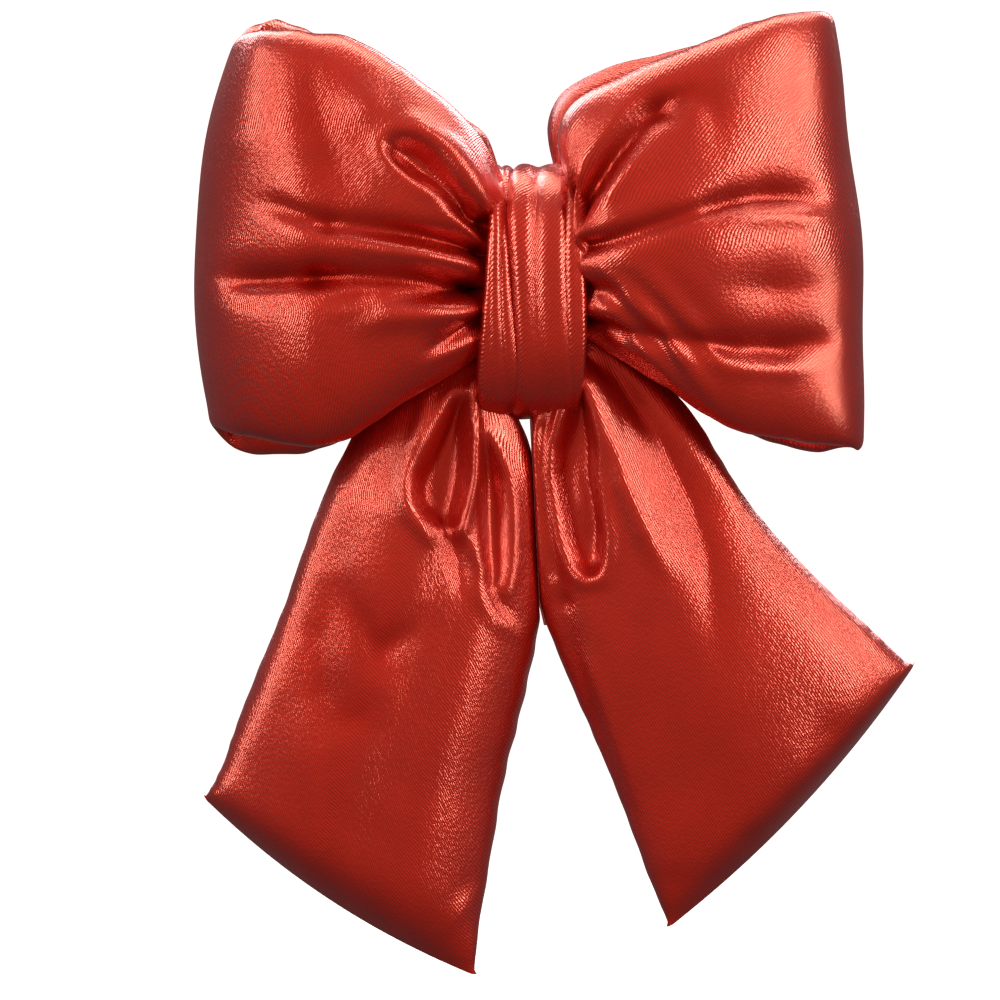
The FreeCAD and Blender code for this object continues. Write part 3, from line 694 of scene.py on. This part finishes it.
def foil_material():
    """Red foil cloth: a fine twill, a leathery grain, and painted shade and a duller coat deep in the
    folds.
    """
    material, nodes, links, shader = new_material("red_foil_fabric")
    shader.inputs["Metallic"].default_value = 0.72
    shader.inputs["Specular IOR Level"].default_value = 0.1
    shader.inputs["Coat Roughness"].default_value = 0.25
    shader.inputs["Coat IOR"].default_value = 2.1
    uv_map = new_node(nodes, "UVMap")
    uv_map.uv_map = "cloth"
    uv = uv_map.outputs["UV"]
    turned = new_node(nodes, "Mapping", Rotation=(0, 0, -math.radians(TWILL_ANGLE)))
    links.new(uv, turned.inputs["Vector"])
    twill = new_node(nodes, "TexWave", Scale=2 * math.pi / 20 / TWILL_PITCH, Distortion=1.2, Detail=2.0)
    twill.wave_type = "BANDS"
    twill.bands_direction = "X"
    links.new(turned.outputs["Vector"], twill.inputs["Vector"])
    grain = new_node(nodes, "TexVoronoi", Scale=1.4)
    links.new(uv, grain.inputs["Vector"])
    patches = new_node(nodes, "TexNoise", Scale=0.09, Detail=3.0)
    links.new(uv, patches.inputs["Vector"])
    fold = new_node(nodes, "Attribute")
    fold.attribute_name = "fold"

    colour = new_ramp(nodes, links, patches.outputs["Fac"], (FOIL_DARK, FOIL_LIGHT), (0.3, 0.72))
    thread_shadow = new_range(nodes, links, twill.outputs["Fac"], To_Min=0.70, To_Max=1.12)
    woven = new_node(nodes, "VectorMath")
    woven.operation = "SCALE"
    links.new(colour, woven.inputs[0])
    links.new(thread_shadow, woven.inputs["Scale"])
    # Painted shade: deep in the folds the base colour is mixed towards a dark red, and the coat is thinned.
    deep = new_range(nodes, links, fold.outputs["Fac"], From_Min=0.5, From_Max=5.0, To_Max=0.85)
    shade = new_node(nodes, "Mix")
    shade.data_type = "RGBA"
    links.new(deep, shade.inputs[MIX_FACTOR])
    links.new(woven.outputs["Vector"], shade.inputs[MIX_A])
    shade.inputs[MIX_B].default_value = (*FOIL_PAINTED_SHADE, 1)
    links.new(shade.outputs[MIX_RESULT], shader.inputs["Base Color"])

    gloss = new_range(nodes, links, fold.outputs["Fac"], From_Max=4.0, To_Min=1.0, To_Max=0.1)
    links.new(gloss, shader.inputs["Coat Weight"])
    rough = new_range(nodes, links, patches.outputs["Fac"], To_Min=0.26, To_Max=0.34)
    links.new(rough, shader.inputs["Roughness"])
    _, fine = new_bump(nodes, links, twill.outputs["Fac"], Strength=0.9, Distance=0.00004)
    leather, surface = new_bump(nodes, links, grain.outputs["Distance"], Strength=0.62, Distance=0.00008)
    links.new(fine, leather.inputs["Normal"])
    links.new(surface, shader.inputs["Normal"])
    links.new(surface, shader.inputs["Coat Normal"])
    return material


def plastic_material():
    material, nodes, links, shader = new_material("milky_clip_plastic")
    haze = new_texture(nodes, links, "TexNoise", Scale=260, Detail=4)
    colour = new_ramp(nodes, links, haze, ((0.80, 0.74, 0.71), (0.90, 0.87, 0.85)))
    links.new(colour, shader.inputs["Base Color"])
    shader.inputs["Subsurface Weight"].default_value = 0.2
    shader.inputs["Subsurface Radius"].default_value = (0.002, 0.002, 0.002)
    links.new(new_range(nodes, links, haze, To_Min=0.26, To_Max=0.42), shader.inputs["Roughness"])
    _, surface = new_bump(nodes, links, haze, Strength=0.15, Distance=0.0001)
    links.new(surface, shader.inputs["Normal"])
    return material


def steel_material():
    material, nodes, links, shader = new_material("spring_steel")
    shader.inputs["Metallic"].default_value = 1.0
    grain = new_texture(nodes, links, "TexNoise", Scale=900, Detail=6)
    colour = new_ramp(nodes, links, grain, ((0.46, 0.46, 0.47), (0.68, 0.68, 0.68)))
    links.new(colour, shader.inputs["Base Color"])
    links.new(new_range(nodes, links, grain, To_Min=0.18, To_Max=0.4), shader.inputs["Roughness"])
    return material


def thread_material():
    material, nodes, links, shader = new_material("red_thread")
    twist = new_texture(nodes, links, "TexWave", Scale=900)
    colour = new_ramp(nodes, links, twist, ((0.20, 0.01, 0.012), (0.42, 0.02, 0.024)))
    links.new(colour, shader.inputs["Base Color"])
    shader.inputs["Roughness"].default_value = 0.6
    _, surface = new_bump(nodes, links, twist, Distance=0.0001)
    links.new(surface, shader.inputs["Normal"])
    return material


def glue_material():
    material, nodes, links, shader = new_material("hot_glue")
    cloud = new_texture(nodes, links, "TexNoise", Scale=340)
    colour = new_ramp(nodes, links, cloud, ((0.74, 0.70, 0.60), (0.88, 0.86, 0.80)))
    links.new(colour, shader.inputs["Base Color"])
    shader.inputs["Roughness"].default_value = 0.3
    _, surface = new_bump(nodes, links, cloud, Distance=0.0004)
    links.new(surface, shader.inputs["Normal"])
    return material


FOIL = foil_material()
PLASTIC = plastic_material()
STEEL = steel_material()
THREAD = thread_material()
GLUE = glue_material()


# ---------------------------------------------------------------- loops and tails


def press_folds(p, creases, pockets, stop, fade, limit):
    """Presses the creases and pockets into the front of a tube, then lets the cloth settle a little.

    Returns the grid, and how deep in a fold each point is, which the foil paints as shade.
    """
    p = refine(p)
    n = smooth(normals(p) * outward_sign(p), 6)
    n /= np.linalg.norm(n, axis=2, keepdims=True)
    x, z = p[..., 0], p[..., 2]
    depth = np.zeros(p.shape[:2])
    for points, width in creases:
        depth += CREASE_GAIN * crease_depth(x, z, points, width)
    shade = np.clip(depth, -2, 6)
    for outline, deep, wall, rim in pockets:
        hollow = pocket_depth(x, z, outline, deep, wall, rim)
        depth += hollow
        shade += POCKET_SHADE * hollow
    facing = np.clip((-n[..., 1] - 0.05) / 0.4, 0, 1)
    front = front_face(*p.shape[:2], stop, fade) * facing
    depth = smooth(depth * front, 2)
    shade = smooth(shade * front, 2)
    columns = np.arange(p.shape[1])
    half = p.shape[1] // 2
    from_seam = np.minimum((columns + half // 2) % half, half - (columns + half // 2) % half) - half // 2
    seam = SEAM_DEPTH * np.exp(-((from_seam / SEAM_WIDTH) ** 2))[None] * np.ones(len(p))[:, None]
    p = p - n * (depth + seam)[..., None]
    hold = np.full(p.shape[:2], SETTLE_HOLD)
    hold[[0, -1]] = 1
    p = relax(p, SETTLE_STEPS, 0, SETTLE_BEND, hold, limit, own=1, slack=(1, 1))
    ends = p[[0, -1]].copy()
    p = smooth(p, 2)
    p[[0, -1]] = ends
    return p, shade


def front_face(along, around, stop, fade):
    """1 on the front face of a tube, fading to 0 at its seams and where it stops."""
    j = np.arange(around)
    s = np.arange(along) / (along - 1)
    across = np.sin(np.clip(j / (around / 2), 0, 1) * math.pi) ** 0.5 * (j < around // 2)
    return np.clip((stop - s) / fade, 0, 1)[:, None] * across[None]


def build_loop(name, stations, creases, pockets):
    """A loop: a padded tube that leaves the knot, turns over at its outer edge and comes back behind."""
    along, around = LOOP_GRID
    p = tube(stations, along, around)
    way = outward_sign(p)
    n = normals(p) * way
    s = np.arange(along) / (along - 1)
    near = np.exp(-np.minimum(s, 1 - s) / 0.07)
    gathers = pleats(along, around, 0.9, (7, 9, 12)) * near[:, None]
    back = np.clip((s - 0.53) / 0.05, 0, 1)[:, None]
    gathers += pleats(along, around, 0.8, (5, 6, 8)) * np.exp(-(1 - s) / 0.22)[:, None] * back
    soft = pleats(along, around, 0.25, (3, 4, 5))
    ripples = puckers(along, around, LOOP_PUCKER)
    p = p + n * (gathers * (0.35 + 0.65 * back) + soft + ripples)[..., None]
    hold = np.full((along, around), FREE_HOLD)
    hold[:, [0, around // 2]] = SEAM_HOLD
    hold[:3] = 1
    hold[-3:] = 1

    def limit(q):
        """Keeps the front layer before the back layer, and both inside the loop's depth."""
        t = np.arange(len(q)) / (len(q) - 1)
        q[t < 0.44, :, 1] = np.minimum(q[t < 0.44, :, 1], FRONT_LAYER_Y)
        q[t > 0.56, :, 1] = np.maximum(q[t > 0.56, :, 1], BACK_LAYER_Y)
        q[..., 1] = np.clip(q[..., 1], *LOOP_ROOM_Y)
        return q

    p = relax(p, INFLATE_STEPS, PRESSURE * way, FREE_BEND, hold, limit)
    p, shade = press_folds(p, creases, pockets, 0.47, 0.04, limit)
    piece = grid_mesh(name, p, cap_end=True, folds=shade)
    finish_fabric(piece)
    return piece


def build_tail(name, stations, creases, pockets, side):
    """A tail: a padded tube that hangs from the knot and ends in a flat slanted hem.  side is -1 or 1."""
    along, around = TAIL_GRID
    p = tube(stations, along, around)
    way = outward_sign(p)
    n = normals(p) * way
    s = np.arange(along) / (along - 1)
    flat_end = np.clip((1 - s) / 0.06, 0, 1)
    near = np.exp(-s / 0.12)
    gathers = pleats(along, around, 0.8, (5, 7, 9)) * near[:, None]
    soft = pleats(along, around, 0.25, (3, 4, 5)) * flat_end[:, None]
    ripples = puckers(along, around, TAIL_PUCKER)
    p = p + n * (gathers + soft + ripples * flat_end[:, None])[..., None]
    hold = np.full((along, around), FREE_HOLD)
    hold[:, [0, around // 2]] = SEAM_HOLD
    hold[:3] = 1
    hold[-1] = 0.3

    def limit(q):
        """Closes the hem, keeps the tail's depth, and keeps each tail on its side of their meeting line."""
        half = q.shape[1] // 2
        q[-1, 1:half] = (q[-1, 1:half] + q[-1, :half:-1]) / 2
        q[-1, :half:-1] = q[-1, 1:half]
        q[..., 1] = np.clip(q[..., 1], *TAIL_ROOM_Y)
        meet = MEET_X + MEET_SLOPE * np.clip(-q[..., 2] - MEET_TOP, 0, 60)
        near_line = (q[..., 2] < 4) & (q[..., 2] > -34) & (np.abs(q[..., 0] - meet) < 6)
        kept = side * np.maximum(side * q[..., 0], side * meet + 0.05)
        q[..., 0] = np.where(near_line, kept, q[..., 0])
        return q

    p = relax(p, INFLATE_STEPS, PRESSURE * way, FREE_BEND, hold, limit, own=0.97)
    p, shade = press_folds(p, creases, pockets, 1.0, 0.05, limit)
    piece = grid_mesh(name, p, folds=shade)
    finish_fabric(piece)
    return piece


def finish_fabric(piece):
    piece.data.materials.append(FOIL)


left_loop = build_loop("left_loop", LEFT_LOOP, LEFT_LOOP_CREASES, LEFT_LOOP_POCKETS)
right_loop = build_loop("right_loop", RIGHT_LOOP, RIGHT_LOOP_CREASES, [])
left_tail = build_tail("left_tail", LEFT_TAIL, LEFT_TAIL_CREASES, LEFT_TAIL_POCKETS, -1)
right_tail = build_tail("right_tail", RIGHT_TAIL, RIGHT_TAIL_CREASES, RIGHT_TAIL_POCKETS, 1)
for piece in (left_loop, right_loop, left_tail, right_tail):
    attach(piece, "bow")
    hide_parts(piece.name + "_cover", piece.name + "_wadding")

# ---------------------------------------------------------------- knot band


def superellipse(values, power):
    return np.sign(values) * np.abs(values) ** (2 / power)


def build_knot():
    """The band: a ring of cloth round the knot, tucked in at its two edges and folded along its length."""
    around, across = 150, 46
    angle = np.linspace(0, 2 * math.pi, around, endpoint=False) + math.pi / 2
    cy = superellipse(np.cos(angle), KNOT_POWER)
    cz = superellipse(np.sin(angle), KNOT_POWER)
    v = np.linspace(-1, 1, across)
    table = np.array(KNOT_EDGES[::-1])
    tuck = np.clip((np.abs(v) - 0.78) / 0.22, 0, 1)
    p = np.zeros((across, around, 3))
    for j in range(around):
        z = KNOT_Z + KNOT_HALF_Z * cz[j]
        front = np.clip(-cy[j] * 2, 0, 1)
        left = np.interp(z, table[:, 0], table[:, 1]) * front + KNOT_BACK_LEFT * (1 - front)
        right = np.interp(z, table[:, 0], table[:, 2]) * front + KNOT_BACK_RIGHT * (1 - front)
        x = (left + right) / 2 + (right - left) / 2 * np.sin(np.clip(v * 1.12, -1, 1) * math.pi / 2)
        inward = KNOT_CROWN * np.abs(v) ** 2 + KNOT_TUCK * tuck**1.5
        folds = np.zeros(across)
        for fold_x, depth, width in KNOT_FOLDS:
            sway = fold_x + 0.5 * math.sin(angle[j] * 3 + fold_x) + 0.03 * (30 - z) * front
            folds += depth * np.exp(-(((x - sway) / width) ** 2))
        fade = 0.35 + 0.65 * np.clip((z - 12) / 22, 0, 1)
        inward = inward + folds * fade
        length = 1 / np.hypot(cy[j] / KNOT_HALF_Y, cz[j] / KNOT_HALF_Z)
        p[:, j, 0] = x
        p[:, j, 1] = KNOT_Y + KNOT_HALF_Y * cy[j] * (1 - inward / length)
        p[:, j, 2] = z - (z - KNOT_Z) * inward / length
    piece = grid_mesh("knot_band_cloth", p[:, ::-1], cap_start=False)
    finish_fabric(piece)
    finer = piece.modifiers.new("smooth", "SUBSURF")
    finer.levels = 1
    finer.render_levels = 1
    thick = piece.modifiers.new("cloth thickness", "SOLIDIFY")
    thick.thickness = KNOT_CLOTH * MM
    thick.offset = -1
    return piece


knot = build_knot()
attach(knot, "bow")
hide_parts("knot_band")

# ---------------------------------------------------------------- clip


def sweep(name, path, radius, sides=12):
    """A round wire along points in millimetres."""
    path = np.array(path, float)
    tangent = np.gradient(path, axis=0)
    tangent /= np.linalg.norm(tangent, axis=1, keepdims=True)
    side = np.cross(tangent[0], [1.0, 0, 0])
    rings = []
    for point, way in zip(path, tangent):
        side = side - way * (side @ way)
        side /= np.linalg.norm(side)
        other = np.cross(way, side)
        a = np.arange(sides) / sides * 2 * math.pi
        rings.append(point + radius * (np.cos(a)[:, None] * side + np.sin(a)[:, None] * other))
    return grid_mesh(name, np.array(rings), cap_end=True)


def build_spring():
    """The torsion spring: a leg up each handle and a coil round the pin."""
    lean, radius, pitch, turns, leg = math.radians(9.5), 1.95, 0.98, 3, 19.0
    start, end = math.pi + lean, 2 * math.pi * (turns + 1) - lean
    half_length = (end - start) / (4 * math.pi) * pitch
    a = np.linspace(start, end, 130)
    x = np.linspace(-half_length, half_length, len(a))
    coil = np.stack([x, PIVOT_Y + radius * np.cos(a), PIVOT_Z + radius * np.sin(a)], 1)
    up_in = np.array([0, -math.sin(lean), math.cos(lean)])
    up_out = np.array([0, math.sin(lean), math.cos(lean)])
    steps = np.linspace(0, leg, 12)[1:, None]
    path = np.vstack([(coil[0] + up_in * steps)[::-1], coil, coil[-1] + up_out * steps])
    return sweep("clip_spring_wire", path, SPRING_WIRE)


spring = build_spring()
spring.data.materials.append(STEEL)
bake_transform(spring)
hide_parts("clip_spring")

clip_nodes = {
    "clip_fixed_arm": PLASTIC,
    "clip_moving_arm": PLASTIC,
    "clip_pin": STEEL,
    "clip_glue": GLUE,
    "band_stitches": THREAD,
    "gather_thread": THREAD,
}
for node, material in clip_nodes.items():
    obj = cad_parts[node]
    obj.data.materials.clear()
    obj.data.materials.append(material)

# ---------------------------------------------------------------- stage, light and camera


def ring(radius, z):
    """A level circle of points."""
    turns = [2 * math.pi * j / DOME_SIDES for j in range(DOME_SIDES)]
    return [(radius * math.cos(turn), radius * math.sin(turn), z) for turn in turns]


def floor_material():
    """A pale floor that turns into a plain white backdrop with distance."""
    material, nodes, links, shader = new_material("pale_floor")
    coords = new_node(nodes, "TexCoord")
    noise = new_node(nodes, "TexNoise", Scale=4)
    links.new(coords.outputs["Object"], noise.inputs["Vector"])
    colour = new_ramp(nodes, links, noise.outputs["Fac"], ((0.90, 0.90, 0.90), (0.94, 0.94, 0.94)))
    links.new(colour, shader.inputs["Base Color"])
    shader.inputs["Roughness"].default_value = 0.9
    shader.inputs["Emission Color"].default_value = (1, 1, 1, 1)
    away = new_node(nodes, "VectorMath")
    away.operation = "LENGTH"
    links.new(coords.outputs["Object"], away.inputs[0])
    glow = new_range(nodes, links, away.outputs["Value"], From_Min=0.35, From_Max=1.1, To_Min=0.25)
    links.new(glow, shader.inputs["Emission Strength"])
    return material


def build_stage():
    """The floor and a wide dome over it.  The foil reflects the studio in the world shader, not these."""
    verts, faces = [(0, 0, FLOOR_Z)], []
    for k in range(1, FLOOR_RINGS + 1):
        verts += ring(DOME_RADIUS * (k / FLOOR_RINGS) ** 1.5, FLOOR_Z)
    for k in range(1, DOME_RINGS):
        lift = k / DOME_RINGS * math.pi / 2
        verts += ring(DOME_RADIUS * math.cos(lift), FLOOR_Z + DOME_RADIUS * math.sin(lift))
    verts.append((0, 0, FLOOR_Z + DOME_RADIUS))
    bands = DOME_RINGS + FLOOR_RINGS - 2
    for j in range(DOME_SIDES):
        nxt = (j + 1) % DOME_SIDES
        faces.append((0, 1 + j, 1 + nxt))
        for k in range(bands):
            base = 1 + k * DOME_SIDES
            faces.append((base + j, base + DOME_SIDES + j, base + DOME_SIDES + nxt, base + nxt))
        base = 1 + bands * DOME_SIDES
        faces.append((base + j, len(verts) - 1, base + nxt))
    mesh = bpy.data.meshes.new("floor")
    mesh.from_pydata(verts, [], faces)
    floor = link_mesh("floor", mesh)
    mesh.materials.append(floor_material())
    floor.visible_glossy = False
    floor.visible_diffuse = False
    floor.visible_shadow = False


def build_world():
    """A studio that is red-orange in front and dark grey behind, and brighter above than below."""
    world = bpy.data.worlds.new("studio")
    bpy.context.scene.world = world
    world.use_nodes = True
    nodes, links = world.node_tree.nodes, world.node_tree.links
    coords = new_node(nodes, "TexCoord")
    split = new_node(nodes, "SeparateXYZ")
    links.new(coords.outputs["Generated"], split.inputs["Vector"])
    depth = new_node(nodes, "MapRange", From_Min=0.35, From_Max=-0.9)
    depth.interpolation_type = "SMOOTHSTEP"
    links.new(split.outputs["Y"], depth.inputs["Value"])
    tone = new_node(nodes, "Mix")
    tone.data_type = "RGBA"
    tone.inputs[MIX_A].default_value = STUDIO_BEHIND
    tone.inputs[MIX_B].default_value = STUDIO_FRONT
    links.new(depth.outputs["Result"], tone.inputs[MIX_FACTOR])
    links.new(tone.outputs[MIX_RESULT], nodes["Background"].inputs["Color"])
    up = split.outputs["Z"]
    height = new_range(nodes, links, up, From_Min=-0.8, From_Max=0.8, To_Min=0.5, To_Max=1.3)
    links.new(height, nodes["Background"].inputs["Strength"])


def build_light(name, place, size, power, tint):
    """A flat rectangular light that looks at the origin."""
    light = bpy.data.lights.new(name, "AREA")
    light.shape = "RECTANGLE"
    light.size, light.size_y = size
    light.energy = power
    light.color = tint
    obj = bpy.data.objects.new(name, light)
    bpy.context.scene.collection.objects.link(obj)
    obj.location = place
    obj.rotation_euler = (Vector((0, 0, 0)) - Vector(place)).to_track_quat("-Z", "Y").to_euler()


def build_camera():
    """A long lens straight in front of the bow."""
    camera = bpy.data.cameras.new("camera")
    camera.lens = 216.0
    camera.sensor_width = 36.0
    camera.clip_end = 50
    obj = bpy.data.objects.new("camera", camera)
    bpy.context.scene.collection.objects.link(obj)
    obj.location = CAMERA_PLACE
    obj.rotation_euler = (math.pi / 2, 0, 0)
    bpy.context.scene.camera = obj


build_stage()
build_world()
for light in LIGHTS:
    build_light(*light)
build_camera()
bpy.context.scene.view_settings.view_transform = "Standard"
